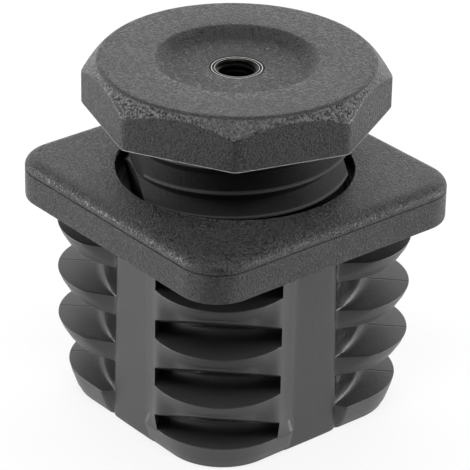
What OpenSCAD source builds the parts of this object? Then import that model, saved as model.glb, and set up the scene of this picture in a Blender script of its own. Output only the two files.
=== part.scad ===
// Adjustable square tube insert with a threaded bush.
// The ribbed plug is driven into the end of a square tube and its flange rests on the tube.
// A large octagonal screw turns in the plug to set the height.
// A steel bush in the screw takes the foot or castor stem.
// Lengths are in millimetres, +Z is up, and the origin is the middle of the plug's lower end.

/* [Flange] */
// Side of the square flange, the same as the tube's outside
flange_side = 60; // [58:0.5:62]
// Height of the flange
flange_thickness = 8.2; // [7:0.1:9]
// Corner radius of the flange seen from above
flange_corner = 7.8; // [6:0.2:10]
// Radius of the rounded upper edge of the flange
flange_edge = 2.1; // [1:0.1:2.6]
// Radius of the round opening in the flange's top
opening_radius = 22.1; // [21.9:0.05:22.8]
// Depth of the plain part of that opening
opening_depth = 4; // [2.5:0.1:5]

/* [Plug] */
// Length of the plug below the flange
plug_length = 39.6; // [38.5:0.1:42]
// Radius of the round sleeve that carries the inner thread
sleeve_radius = 24; // [23.4:0.1:24.3]
// Distance from the axis to the flat face of a pillar, at the flange
pillar_reach = 24.7; // [24.4:0.1:25.4]
// Lean of that face towards the axis, from the flange to the lower end
pillar_draft = 0.5; // [0.2:0.1:0.9]
// Width of a pillar in the middle of each side
pillar_width = 14; // [12:0.5:15]
// Radius of a pillar's long edges
pillar_edge = 1.6; // [1:0.1:2.4]

/* [Fins] */
// Distance from the axis to the tip of a fin, along the tube's diagonal
fin_reach = 33.1; // [32:0.1:34]
// Radius of a fin's rounded end, half of the fin's width
fin_radius = 13.6; // [12.5:0.1:14.2]
// Height of a fin's sloping edge
fin_height = 3.7; // [3:0.1:4.5]
// Size of a fin's lower outline as a part of its upper outline
fin_taper = 0.93; // [0.88:0.005:0.96]
// Distance from one fin to the next
fin_pitch = 9.9; // [9.4:0.1:10.2]
// Free height between the flange and the first fin
fin_gap = 4.65; // [3.6:0.05:5]

/* [Foot] */
// Half of the width of the square foot that closes the plug, across its upper edge
foot_half = 26.2; // [25.8:0.1:26.8]
// Radius of its corners there
foot_corner = 12.3; // [11:0.1:13]
// Size of its lower outline as a part of its upper outline
foot_taper = 0.92; // [0.88:0.005:0.97]
// Width of the gap in the foot where a pillar's face runs through
foot_gap = 11; // [10:0.5:12]

/* [Thread] */
// Crest radius of the screw's coarse thread
thread_radius = 21.2; // [20.8:0.05:21.4]
// Rise of the thread in one turn
thread_pitch = 5; // [4.9:0.05:5.2]
// Depth of the screw's thread
thread_depth = 2.3; // [2:0.05:2.35]
// Half of the width of the thread's crest
crest_half = 0.15; // [0.05:0.05:0.2]
// Radial clearance between the two threads
thread_clearance = 0.4; // [0.3:0.05:0.5]
// Clearance between the flanks, along the axis
flank_clearance = 0.3; // [0.2:0.05:0.35]
// Length of the inner thread's plain relief at the lower end
relief_length = 7; // [5:0.5:9]

/* [Screw] */
// Width of the octagonal head across its flats
head_width = 52.7; // [51:0.1:54]
// Height of the head
head_height = 9.5; // [8.5:0.1:11]
// Radius of the circle where the head's bevel meets its top
head_top_radius = 25.2; // [24:0.1:25.4]
// Turn of the head's corners against the flange's sides, in degrees
head_turn = 5.3; // [0:0.1:22.5]
// Height of the head above the flange in the rest pose
head_lift = 12.1; // [11:0.1:13]
// Length of the threaded stem below the head
stem_length = 42; // [40:0.5:46]
// Outer radius of the shallow recess in the head's top
recess_radius = 15; // [13:0.1:16]
// Width of the recess's sloping wall
recess_slope = 2.4; // [1.5:0.1:3]
// Depth of the recess
recess_depth = 1.9; // [1:0.1:2.4]
// Radius of the hollow inside the stem
hollow_radius = 15.4; // [14.5:0.1:16]
// Thickness of the head's floor above the hollow
head_floor = 4.4; // [3.5:0.1:5.5]
// Radius of the boss that holds the bush
boss_radius = 9; // [8.5:0.1:10]
// Thickness of the boss's floor below the bush
boss_floor = 2; // [1.5:0.1:3]
// Thickness of the ribs between the boss and the stem's wall
rib_thickness = 2.6; // [2:0.1:3.5]
// Height of those ribs
rib_height = 20; // [16:0.5:26]

/* [Bush] */
// Outer radius of the steel bush
bush_radius = 6; // [5.6:0.1:6.6]
// Length of the bush
bush_length = 16; // [14:0.5:18]
// Radius of the bush's bore, the core of its M8 thread
bore_radius = 3.4; // [3.3:0.05:3.5]
// Widening of the bore at each end of the bush
bore_bevel = 0.6; // [0.3:0.05:0.8]
// Depth of the groove that keeps the bush in the plastic
groove_depth = 0.8; // [0.4:0.1:1]
// Width of that groove
groove_width = 3; // [2:0.5:5]
// Clearance all round the bush
bush_clearance = 0.1; // [0.08:0.01:0.2]
// Radius of the hole in the plastic above the bush
mouth_radius = 4.3; // [4.2:0.05:4.6]
// Bevel of that hole at the floor of the recess
mouth_bevel = 0.4; // [0.2:0.05:0.6]
// Thickness of the plastic above the bush
mouth_depth = 0.9; // [0.7:0.05:1.4]

/* [Hidden] */
$fn = 96;

// Parts of one turn of the thread, and the angle of one part
segments = 48;
step = 360 / segments;
// The helix passes this height at angle zero, with the screw in its rest pose
thread_phase = 2.975;
// Middle of the flats that the mould leaves along the screw's thread
parting_angle = 243.75;
parting_half = 3.5 * step;

root_radius = thread_radius - thread_depth;
inner_crest = root_radius + thread_clearance + 0.1;
inner_root = thread_radius + thread_clearance;
flange_top = plug_length + flange_thickness;
head_bottom = flange_top + head_lift;
head_top = head_bottom + head_height;
stem_bottom = head_bottom - stem_length;
corner_radius = head_width / 2 / cos(22.5);
fin_top = plug_length - fin_gap;
foot_height = fin_top - 3 * fin_pitch;
recess_floor = head_top - recess_depth;
bush_top = recess_floor - mouth_depth;
bush_bottom = bush_top - bush_length;
hollow_top = head_top - recess_depth - head_floor;
inner_top = flange_top - opening_depth;
over = 1;

// Half of the ridge's height along the axis at radius r, for flanks at 45 degrees
function ridge_half(r, extra) = crest_half + thread_radius - r + extra;

// Crest radius at angle a where the mould's flats cut the ridge, or the full radius
function cut_radius(crest, a, flats) =
    let (d = abs((a - parting_angle + 3690) % 180 - 90))
    flats && d < parting_half ? crest * cos(parting_half) / cos(d) : crest;

function around(r, a, z) = [r * cos(a), r * sin(a), z];

// A round bar with a helical ridge: root and crest are its radii, low and high its ends.
// The ridge starts and stops bluntly, margin away from the ends.
module threaded_bar(root, crest, extra, low, high, margin, flats) {
    foot = ridge_half(root, extra);
    first = ceil((low + margin + foot - thread_phase) / thread_pitch);
    start = thread_phase + first * thread_pitch;
    count = floor((high - margin - foot - start) / thread_pitch * segments);
    ridge = [for (k = [0 : count]) for (p = [0 : 3])
        let (a = k * step)
        let (c = cut_radius(crest, a, flats))
        let (half = ridge_half(c, extra))
        around(p == 0 || p == 3 ? root : c, a,
            start + k * thread_pitch / segments + (p == 0 ? -foot : p == 1 ? -half : p == 2 ? half : foot))];
    lower = [for (i = [0 : segments - 1]) around(root, i * step, low)];
    upper = [for (i = [0 : segments - 1]) around(root, i * step, high)];
    b = len(ridge);
    t = b + segments;
    last = count - segments;
    faces = concat(
        [for (k = [0 : count - 1]) for (p = [0 : 2]) [4 * k + p, 4 * k + p + 1, 4 * k + p + 5]],
        [for (k = [0 : count - 1]) for (p = [0 : 2]) [4 * k + p, 4 * k + p + 5, 4 * k + p + 4]],
        [for (k = [0 : last - 1]) [4 * k + 3, 4 * (k + segments), 4 * (k + 1 + segments)]],
        [for (k = [0 : last - 1]) [4 * k + 3, 4 * (k + 1 + segments), 4 * k + 7]],
        [[3, 2, 1, 0]],
        [[4 * count, 4 * count + 1, 4 * count + 2, 4 * count + 3]],
        [for (i = [0 : segments - 2]) [b + i, 4 * i, 4 * i + 4]],
        [for (i = [0 : segments - 2]) [b + i, 4 * i + 4, b + i + 1]],
        [[b + segments - 1, 4 * (segments - 1), 4 * segments, 3, 0, b]],
        [for (k = [last + 1 : count - 1])
            [4 * k + 3, t + k % segments, t + (k + 1) % segments, 4 * k + 7]],
        [[t + (last + 1) % segments, 4 * last + 7, 4 * last + 3, 4 * count, 4 * count + 3, t + last % segments]],
        [[for (i = [0 : segments - 1]) b + i]],
        [[for (i = [segments - 1 : -1 : 0]) t + i]]);
    polyhedron(points = concat(ridge, lower, upper), faces = faces, convexity = 12);
}

// Half of the flange's section along one side, rounded at the top
module flange_section(half) {
    square([half, flange_thickness - flange_edge]);
    square([half - flange_edge, flange_thickness]);
    translate([half - flange_edge, flange_thickness - flange_edge]) circle(r = flange_edge);
}

// A quarter of a round corner with the same rounded edge
module flange_corner_piece() {
    rotate_extrude(angle = 90) intersection() {
        flange_section(flange_corner);
        square([flange_corner + over, flange_thickness + over]);
    }
}

// One side's bar of the flange, as long as the flat part of the side
module flange_bar() {
    straight = flange_side - 2 * flange_corner;
    rotate([90, 0, 0]) translate([0, 0, -straight / 2]) linear_extrude(height = straight) {
        flange_section(flange_side / 2);
        mirror([1, 0]) flange_section(flange_side / 2);
    }
}

module flange() {
    corner = flange_side / 2 - flange_corner;
    translate([0, 0, plug_length]) {
        flange_bar();
        rotate([0, 0, 90]) flange_bar();
        for (a = [0 : 90 : 270])
            rotate([0, 0, a]) translate([corner, corner, 0]) flange_corner_piece();
    }
}

// Four lobes seen from above, one towards each corner of the tube
module lobes(reach, radius) {
    for (a = [45 : 90 : 315]) rotate(a) {
        translate([reach - radius, 0]) circle(r = radius, $fn = 48);
        translate([0, -radius]) square([reach - radius, 2 * radius]);
    }
}

// One layer of fins: flat on top, with an edge that slopes inwards on its way down
module fin_layer(top) {
    translate([0, 0, top - fin_height])
        linear_extrude(height = fin_height, scale = 1 / fin_taper) scale(fin_taper)
            lobes(fin_reach, fin_radius);
}

// The foot seen from above: a square with round corners, open in front of the pillars
module foot_outline() {
    middle = foot_half - foot_corner;
    for (a = [0 : 90 : 270]) rotate(a) {
        translate([middle, middle]) circle(r = foot_corner, $fn = 48);
        translate([0, foot_gap / 2]) square([foot_half, middle - foot_gap / 2]);
        translate([0, -middle]) square([foot_half, middle - foot_gap / 2]);
    }
    square(2 * middle, center = true);
}

module foot() {
    linear_extrude(height = foot_height, scale = 1 / foot_taper) scale(foot_taper) foot_outline();
}

// A pillar's section across its width, leaning towards the axis on its way down
module pillar_section() {
    polygon([
        [0, 0], [pillar_reach - pillar_draft, 0],
        [pillar_reach, plug_length], [pillar_reach, plug_length + over], [0, plug_length + over]]);
}

// A pillar with rounded long edges, before its face is given its lean
module upright_pillar() {
    half = pillar_width / 2;
    translate([0, -half, 0]) cube([pillar_reach - pillar_edge, pillar_width, plug_length + over]);
    translate([0, pillar_edge - half, 0])
        cube([pillar_reach + over, pillar_width - 2 * pillar_edge, plug_length + over]);
    for (s = [-1, 1]) translate([pillar_reach - pillar_edge, s * (half - pillar_edge), 0])
        cylinder(r = pillar_edge, h = plug_length + over, $fn = 24);
}

// Pillars in the middle of the four sides
module pillars() {
    for (a = [0 : 90 : 270]) rotate([0, 0, a]) intersection() {
        upright_pillar();
        translate([0, pillar_width, 0]) rotate([90, 0, 0])
            linear_extrude(height = 2 * pillar_width) pillar_section();
    }
}

module insert_body() color([0.07, 0.07, 0.07]) {
    difference() {
        union() {
            flange();
            cylinder(r = sleeve_radius, h = plug_length + over);
            pillars();
            for (i = [0 : 2]) fin_layer(fin_top - i * fin_pitch);
            foot();
        }
        threaded_bar(inner_crest, inner_root, flank_clearance,
            -thread_pitch - over, flange_top + thread_pitch, over, false);
        translate([0, 0, inner_top]) cylinder(r = opening_radius, h = opening_depth + over);
        translate([0, 0, -over]) cylinder(r = inner_root + 0.1, h = relief_length + over);
    }
}

// The octagonal head with its bevelled top and shallow recess
module head() {
    difference() {
        intersection() {
            translate([0, 0, head_bottom]) rotate([0, 0, head_turn])
                cylinder(r = corner_radius, h = head_height, $fn = 8);
            translate([0, 0, head_top - 10])
                cylinder(r1 = head_top_radius + 10, r2 = head_top_radius, h = 10);
        }
        translate([0, 0, recess_floor])
            cylinder(r1 = recess_radius - recess_slope, r2 = recess_radius, h = recess_depth);
    }
}

module adjusting_screw() color([0.07, 0.07, 0.07]) {
    difference() {
        union() {
            difference() {
                union() {
                    head();
                    threaded_bar(root_radius, thread_radius, 0, stem_bottom, head_bottom + over, over, true);
                }
                translate([0, 0, stem_bottom - over])
                    cylinder(r = hollow_radius, h = hollow_top - stem_bottom + over);
            }
            translate([0, 0, bush_bottom - boss_floor])
                cylinder(r = boss_radius, h = hollow_top - bush_bottom + boss_floor + over);
            for (a = [0, 90]) rotate([0, 0, a + head_turn])
                translate([-hollow_radius - over, -rib_thickness / 2, hollow_top - rib_height])
                    cube([2 * hollow_radius + 2 * over, rib_thickness, rib_height + over]);
        }
        translate([0, 0, bush_bottom - bush_clearance])
            cylinder(r = bush_radius + bush_clearance, h = bush_length + 2 * bush_clearance);
        translate([0, 0, stem_bottom - over]) cylinder(r = mouth_radius, h = head_top - stem_bottom);
        translate([0, 0, recess_floor - mouth_bevel])
            cylinder(r1 = mouth_radius, r2 = mouth_radius + mouth_bevel, h = mouth_bevel);
    }
}

module threaded_bush() color([0.55, 0.55, 0.56]) {
    difference() {
        translate([0, 0, bush_bottom]) cylinder(r = bush_radius, h = bush_length);
        translate([0, 0, bush_bottom - over]) cylinder(r = bore_radius, h = bush_length + 2 * over);
        translate([0, 0, bush_top - bore_bevel])
            cylinder(r1 = bore_radius, r2 = bore_radius + bore_bevel, h = bore_bevel);
        translate([0, 0, bush_bottom])
            cylinder(r1 = bore_radius + bore_bevel, r2 = bore_radius, h = bore_bevel);
        translate([0, 0, bush_bottom + (bush_length - groove_width) / 2]) difference() {
            cylinder(r = bush_radius + over, h = groove_width);
            translate([0, 0, -over]) cylinder(r = bush_radius - groove_depth, h = groove_width + 2 * over);
        }
    }
}

insert_body();
adjusting_screw();
threaded_bush();
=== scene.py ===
# %% [markdown]
# # An adjustable tube insert, from CAD nodes to a product picture
#
# The object is a square plastic plug for the end of a steel tube. A large octagonal screw turns
# in it, and a small steel bush in the screw takes the threaded stem of a foot or castor.
# Everything here is measured in millimetres first and turned into metres when a mesh is made.

# %% load the frame
import math

import bmesh
import bpy
import numpy as np
from mathutils import Matrix, Vector


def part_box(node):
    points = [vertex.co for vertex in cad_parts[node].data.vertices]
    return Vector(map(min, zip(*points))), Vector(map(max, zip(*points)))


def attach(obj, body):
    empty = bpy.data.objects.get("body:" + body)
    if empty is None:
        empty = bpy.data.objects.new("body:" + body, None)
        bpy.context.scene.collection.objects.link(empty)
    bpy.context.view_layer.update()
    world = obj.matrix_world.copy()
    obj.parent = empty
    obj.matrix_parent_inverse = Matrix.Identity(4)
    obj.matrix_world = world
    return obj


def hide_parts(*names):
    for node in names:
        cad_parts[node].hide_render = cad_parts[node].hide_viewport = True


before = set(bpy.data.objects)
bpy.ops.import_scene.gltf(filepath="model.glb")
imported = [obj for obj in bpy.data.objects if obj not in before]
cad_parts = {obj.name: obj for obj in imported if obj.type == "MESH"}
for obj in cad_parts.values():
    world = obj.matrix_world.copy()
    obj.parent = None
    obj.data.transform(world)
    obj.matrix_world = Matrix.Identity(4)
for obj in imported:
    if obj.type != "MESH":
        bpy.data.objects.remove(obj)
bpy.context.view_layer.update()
MM = 0.001


def box_mm(node):
    """The lowest and highest corner of a CAD node: its corners in metres over a thousandth."""
    return [np.array(corner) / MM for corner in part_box(node)]


plug_low, plug_high = box_mm("insert_body")
screw_low, screw_high = box_mm("adjusting_screw")
bush_low, bush_high = box_mm("threaded_bush")
print("plug", plug_low.round(2), plug_high.round(2))
print("screw", screw_low.round(2), screw_high.round(2))
print("bush", bush_low.round(2), bush_high.round(2))

# %% [markdown]
# ## Outlines as functions of the angle
#
# Every outline here is star-shaped around the axis, so it can be written as a radius for each
# angle, and a whole outline is one numpy expression. Cutting solids out of each other would give
# the same forms, but no hold on their small roundings. `fold` measures an angle from the nearest
# of several equal directions, and the smooth maximum joins two outlines with a small fillet, as
# the mould does.


# %% rounding helpers
def fold(angle, parts, phase=0.0):
    """The angle from the nearest of so many equally spaced directions: what is left over after
    whole parts, moved to lie between minus and plus half a part."""
    part = 2 * np.pi / parts
    return (angle - phase + part / 2) % part - part / 2


def smooth_max(a, b, width):
    """The larger of a and b, rounded where they meet: half of their sum, plus half of the root
    of their difference squared plus the width squared."""
    return (a + b + np.sqrt((a - b) ** 2 + width**2)) / 2


def smooth_min(a, b, width):
    """The smaller of a and b, rounded: the smooth maximum of both with their signs turned."""
    return -smooth_max(-a, -b, width)


def smooth_step(value):
    """Rises from 0 to 1 with flat ends, as three times the square less twice the cube."""
    t = np.clip(value, 0, 1)
    return t * t * (3 - 2 * t)


print("a fillet 0.4 wide stands out by", smooth_max(0, 0, 0.4), "where both outlines are equal")

# %% outlines
PARALLEL = 0.05  # the least cosine between a ray and a line's foot


def rounded_square(angle, half, corner):
    """The radius of a square with round corners: half over the cosine along a side, and the far
    crossing with the corner's circle past it."""
    side = np.abs(fold(angle, 4))
    middle = half - corner
    cosine, sine = np.cos(side), np.sin(side)
    reach = np.sqrt(np.maximum(corner**2 - (middle * (cosine - sine)) ** 2, 0))
    return np.where(half * sine <= middle * cosine, half / cosine, middle * (cosine + sine) + reach)


def lobes(angle, reach, radius):
    """The radius of four discs whose tips lie on the diagonals: the far crossing of the ray with
    the circle of the nearest disc."""
    turn = fold(angle, 4, np.pi / 4)
    middle = reach - radius
    return middle * np.cos(turn) + np.sqrt(np.maximum(radius**2 - (middle * np.sin(turn)) ** 2, 0))


def straight(turn, near, far):
    """The radius of a line through two points, each so far out along a pillar's direction and
    across it: the line's distance from the axis over the cosine of the turn from its foot, which
    is kept from getting too small where the ray runs parallel to the line."""
    out, across = far[1] - near[1], near[0] - far[0]
    length = np.hypot(out, across)
    distance = (out * near[0] + across * near[1]) / length
    facing = np.maximum(out * np.cos(turn) + across * np.sin(turn), PARALLEL * length)
    return distance * length / facing


print("a square of half 10 with corners of 2 reaches", rounded_square(np.pi / 4, 10, 2).round(2))

# %% [markdown]
# ## Surfaces from rings
#
# A surface is a list of rings from one end to the other. Each ring is a radius and a height for
# every angle, and a few rings turn their columns as well. Threads are rings too, which climb with
# the helix and are clipped at both ends. That keeps every face four-sided and puts an edge loop
# where the mould has an edge. A Remesh modifier would blur those edges, and a Screw modifier could
# wind a thread but not end it cleanly at a chamfer.

# %% rings
COLUMNS = 432  # points round the plug and the screw
BUSH_COLUMNS = 144  # points round the bush


def ring_angles(columns, seam=0):
    """Equally spaced angles: a full turn over their count, times each column's number. With
    seam=1 the first one comes again at the end, a full turn later."""
    return np.arange(columns + seam) * 2 * np.pi / columns


def ring_stack(rings, angle, wrap):
    """Points and four-sided faces through a list of rings: the radius times the angle's cosine
    and sine, and the height. wrap joins the last column to the first."""
    radius = np.array([np.broadcast_to(ring[0], angle.shape) for ring in rings], float)
    height = np.array([np.broadcast_to(ring[1], angle.shape) for ring in rings], float)
    turn = np.array([ring[2] if len(ring) > 2 else angle for ring in rings])
    points = np.stack([radius * np.cos(turn), radius * np.sin(turn), height], -1)
    rows, columns = radius.shape
    index = np.arange(rows * columns).reshape(rows, columns)
    if wrap:
        index = np.column_stack([index, index[:, :1]])
    quads = np.stack([index[:-1, :-1], index[:-1, 1:], index[1:, 1:], index[1:, :-1]], -1)
    return points.reshape(-1, 3), quads.reshape(-1, 4)


def arc_rings(outline, centre, drop, width, count):
    """Rings round an edge, on a quarter of an ellipse: the inset is the width times one less the
    sine, and the height is the centre plus the drop times the cosine."""
    turn = np.radians(np.linspace(0, 90, count))
    return [(outline(width * (1 - np.sin(t))), centre + drop * np.cos(t)) for t in turn]


def steps_from(radius, height, steps):
    """Rings at small steps outwards and upwards: the radius and the height plus each step."""
    return [(radius + out, height + up) for out, up in steps]


ANGLE = ring_angles(COLUMNS)
SEAM_ANGLE = ring_angles(COLUMNS, 1)
print("a column every", round(360 / COLUMNS, 3), "degrees")


# %% threads
def thread_radius(angle, z, root, crest, pitch, phase, crest_half, flank):
    """A helical ridge whose middle climbs by one pitch a turn: the crest less the distance past
    the crest's edge over the flank's run, kept between root and crest."""
    centre = phase + pitch * angle / (2 * np.pi)
    away = np.abs((z - centre + pitch / 2) % pitch - pitch / 2)
    return np.clip(crest - (away - crest_half) / flank, root, crest)


def thread_rings(angle, low, high, offsets, pitch, phase, radius_at):
    """Rings that climb with the helix: the height of the ridge's middle on each turn plus each
    offset, clipped to low and high, and the radius there."""
    first = math.floor((low - phase) / pitch) - 2
    last = math.ceil((high - phase) / pitch) + 1
    rings = []
    for turn in range(first, last + 1):
        for offset in offsets:
            z = np.clip(phase + pitch * (turn + angle / (2 * np.pi)) + offset, low, high)
            rings.append((radius_at(angle, z), z))
    return rings


print("half way down a flank, a ridge from 2 to 3 measures", thread_radius(0, 0.6, 2, 3, 4, 0, 0.1, 1))

# %% mesh
WELD = 2e-7  # metres between points that become one
SLIVER = 1e-7  # metres under which an edge or a face is taken out


def make_mesh(name, patches, materials, crease=34):
    """One object from several patches: points times a thousandth, welded where they meet, with
    outward faces and crisp edges past the crease angle. materials gives each patch's number."""
    points = np.concatenate([p for p, q in patches]) * MM
    starts = np.cumsum([0] + [len(p) for p, q in patches[:-1]])
    quads = np.concatenate([q + start for (p, q), start in zip(patches, starts)])
    mesh = bpy.data.meshes.new(name)
    mesh.from_pydata(points, [], quads.tolist())
    mesh.polygons.foreach_set("material_index", np.repeat(materials, [len(q) for p, q in patches]))
    work = bmesh.new()
    work.from_mesh(mesh)
    bmesh.ops.remove_doubles(work, verts=work.verts, dist=WELD)
    bmesh.ops.dissolve_degenerate(work, edges=work.edges, dist=SLIVER)
    bmesh.ops.recalc_face_normals(work, faces=work.faces)
    open_edges = sum(edge.is_boundary for edge in work.edges)
    work.to_mesh(mesh)
    work.free()
    mesh.polygons.foreach_set("use_smooth", np.ones(len(mesh.polygons), bool))
    mesh.set_sharp_from_angle(angle=math.radians(crease))
    item = bpy.data.objects.new(name, mesh)
    bpy.context.scene.collection.objects.link(item)
    triangles = sum(len(face.vertices) - 2 for face in mesh.polygons)
    print(name, triangles, "triangles,", open_edges, "open edges")
    return item


print("points closer than", round(WELD / MM, 6), "mm are welded")

# %% [markdown]
# ## The outlines of the plug
#
# The plug is one moulding: a square flange that stops at the tube's end, a sleeve with four flat
# pillars, three layers of fins that grip the tube, and a foot. Its outer sizes come from the
# frame. The others are the real object's own, and most of them are the ones that the CAD source
# uses. The slots, the draft of the fins and the small roundings are finer here. The fins could be
# separate pieces stuck on a tube, but seams would show where they cross it. As outlines they share
# one sleeve and one skin.

# %% flange sizes
FLANGE_HALF = plug_high[0]
FLANGE_TOP = plug_high[2]
FLANGE_THICKNESS = 8.2
FLANGE_BOTTOM = FLANGE_TOP - FLANGE_THICKNESS
FLANGE_CORNER = 7.8  # radius of the corners, seen from above
EDGE_WIDTH = 2.8  # the rounded upper edge, inwards
EDGE_DROP = 2.1  # and downwards
EDGE_RINGS = 10
OPENING_RADIUS = 22.1
OPENING_DEPTH = 4  # down to where the thread starts
OPENING_BOTTOM = FLANGE_TOP - OPENING_DEPTH
print("flange from", FLANGE_BOTTOM.round(2), "to", FLANGE_TOP.round(2))

# %% sleeve and pillars
SLEEVE_RADIUS = 24
PILLAR_REACH = 24.7  # from the axis to the flat face, under the flange
PILLAR_DRAFT = 0.5  # by how much the face leans in on its way down
PILLAR_INNER = 6.7  # half width on the side of a slot
PILLAR_OUTER = 3.5  # half width on the other side, under the flange
PILLAR_SPREAD = 1.2  # by how much that side moves out on its way down
PILLAR_EDGE = 0.4  # rounding of the pillar's edges
PILLAR_FILLET = 0.2  # and of its foot on the sleeve
LEAST_SINE = 0.02  # keeps the inner side finite in the middle of a pillar


def from_parting(angle):
    """The angle from the mould's parting plane, which runs through two opposite corners: the size
    of the folded angle, up to a quarter turn."""
    return np.abs(fold(angle, 2, np.pi / 4))


def pillar_face(z):
    """How far a pillar's flat face stands from the axis: the reach less the draft's share, which
    grows on the way down."""
    return PILLAR_REACH - PILLAR_DRAFT * (1 - z / FLANGE_BOTTOM)


def plug_core(angle, z):
    """The floor of the pockets: the larger of the sleeve's radius and the pillar, and the pillar
    is the smaller of its face and its side. The side next to a slot stands straight, at its half
    width over the sine. The other one slopes by 45 degrees and moves out on the way down."""
    turn = from_parting(angle) - np.pi / 4
    face = pillar_face(z) / np.cos(turn)
    outer = PILLAR_OUTER + PILLAR_SPREAD * (1 - z / FLANGE_BOTTOM)
    inner_side = PILLAR_INNER / np.maximum(np.sin(turn), LEAST_SINE)
    outer_side = (PILLAR_REACH + outer) / (np.cos(turn) + np.sin(np.abs(turn)))
    side = np.where(turn > 0, inner_side, outer_side)
    return smooth_max(smooth_min(face, side, PILLAR_EDGE), SLEEVE_RADIUS, PILLAR_FILLET)


print("pillars reach", pillar_face(FLANGE_BOTTOM).round(2), "and at the foot", pillar_face(0))

# %% [markdown]
# The pockets under the front and the back corner are slots with a floor on the sleeve and end
# walls that run the way the mould opens. So their columns are spread out on the way in, and the
# faces beside them stay on the outer outline. Their ceilings slope down inwards.

# %% slots
SLOT_END = math.radians(23)  # from a slot's middle to its end, at the outside
SLOT_SPREAD = 1.24  # how much wider the slot is at its floor
CEILING_START = 30.8  # where the ceiling starts to come down, across the parting plane
CEILING_SLOPE = 0.62
CEILING_LOWEST = 4.3  # the most that it comes down
CEILING_BLEND = 0.1  # the angle over which it goes over into the level ones


def in_slot(angle):
    """True for the columns that cross a slot: those less than its end away from its middle, which
    lies a quarter turn from the parting plane."""
    return from_parting(angle) > np.pi / 2 - SLOT_END


def slot_angle(angle):
    """The angle of a column at the floor of a slot: the distance from the slot's middle times the
    spread. Elsewhere it is the column's own angle."""
    return angle + np.where(in_slot(angle), fold(angle, 2, -np.pi / 4) * (SLOT_SPREAD - 1), 0)


def layer_root(angle, z, skin):
    """Where a layer's faces start: on the sleeve or a pillar, and beside a slot on the layer's
    own outline."""
    beside = (from_parting(angle) > np.pi / 4) & ~in_slot(angle)
    return np.where(beside, skin(angle, z), plug_core(angle, z))


def ceiling_drop(angle, radius):
    """How far the ceiling of a slot has come down: the slope times the distance inwards from
    where it starts, up to the lowest, and nothing on the other two corners."""
    turn = from_parting(angle)
    drop = CEILING_SLOPE * np.maximum(CEILING_START - radius * np.sin(turn), 0)
    share = smooth_step((turn - np.pi / 4 + CEILING_BLEND / 2) / CEILING_BLEND)
    return np.minimum(drop, CEILING_LOWEST) * share


print(in_slot(ANGLE).sum(), "of", COLUMNS, "columns cross a slot")

# %% fins
FIN_LAYERS = 3
FIN_REACH = 33.1  # from the axis to a fin's tip, at a corner
FIN_RADIUS = 13.6  # of the round lobe
FIN_HEIGHT = 3.7
FIN_TAPER = 0.93  # the size at the lower edge, as a share of the size at the top
FIN_PITCH = 9.9  # from one layer to the next
FIRST_POCKET = 4.65  # from the flange down to the first layer
FIN_TOP = FLANGE_BOTTOM - FIRST_POCKET
FIN_LIFT = 0.6  # by how much the top is higher at the parting plane
FIN_FILLET = 0.25
FLANK_START = 5.7  # where a flank leaves the pillar's face, across
FLANK_END = (27.3, 11.0)  # and where it heads for: out along the pillar, and across
OUTER_FLANK = [(23.4, 5.3), (27.05, 10.6)]  # both points of the flank away from the slot
TAPER_BLEND = 0.16  # the angle over which the taper fades out at a slot's end


def fin_skin(angle, z, top):
    """The outer face of a fin layer: the smaller of round lobes and straight flanks that run into
    the pillars, and never inside the core. The lobes get smaller below the top, but not beside
    the slots, where the taper fades out."""
    turn = from_parting(angle) - np.pi / 4
    away = np.abs(turn)
    tapered = np.where(turn > 0, smooth_step((SLOT_END - np.pi / 4 + turn) / TAPER_BLEND), 1)
    size = 1 - (1 - FIN_TAPER) * tapered * np.clip((top - z) / FIN_HEIGHT, 0, 1)
    inner_flank = straight(away, (pillar_face(z), FLANK_START), FLANK_END)
    flank = np.where(turn > 0, inner_flank, straight(away, *OUTER_FLANK))
    lobe = lobes(angle, FIN_REACH * size, FIN_RADIUS * size)
    return smooth_max(plug_core(angle, z), smooth_min(lobe, flank, FIN_FILLET), FIN_FILLET)


def fin_rise(angle, radius):
    """The draft of a fin's top: the lift at the parting plane, less an even share of it for the
    distance from that plane."""
    return FIN_LIFT * (1 - np.minimum(radius * np.sin(from_parting(angle)) / FIN_REACH, 1))


print("fin layers at", [round(FIN_TOP - FIN_PITCH * layer, 2) for layer in range(FIN_LAYERS)])

# %% foot
FOOT_TOP = FIN_TOP - FIN_LAYERS * FIN_PITCH
FOOT_HALF = 26.2  # half of the square at the foot's top
FOOT_CORNER = 14.2
FOOT_GAP_HALF = 5.5  # half of the gap in which a pillar's face runs through
FOOT_GAP_BLEND = 1.2  # and how far its ends take to reach the square
FOOT_FILLET = 0.1
SOLE_HALF = 24.1  # half of the square at the lower end
SOLE_CORNER = 11.3


def foot_skin(angle, z):
    """The foot's outer face: the core plus a share of what a rounded square stands out from it.
    The square's size goes evenly from the sole's to the foot's, and the share goes smoothly to
    nothing where a pillar's face runs through."""
    core = plug_core(angle, z)
    share = np.clip(z / FOOT_TOP, 0, 1)
    half = SOLE_HALF + (FOOT_HALF - SOLE_HALF) * share
    square = rounded_square(angle, half, SOLE_CORNER + (FOOT_CORNER - SOLE_CORNER) * share)
    across = np.abs(np.sin(fold(angle, 4))) * square
    blend = smooth_step((across - FOOT_GAP_HALF) / FOOT_GAP_BLEND)
    return smooth_max(core, core + (square - core) * blend - FOOT_FILLET / 2, FOOT_FILLET)


print("foot from 0 to", FOOT_TOP.round(2))

# %% [markdown]
# ## The plug
#
# One closed loop of rings goes over the flange, down the fins, under the foot and up the inside.
# Each edge is a short list of steps, outwards and upwards, from the corner that it rounds. A Bevel
# modifier would round all edges alike, and here each has its own size: the flange's is wide and
# soft, the fins' upper ones are sharp and their lower ones blunt.

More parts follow.
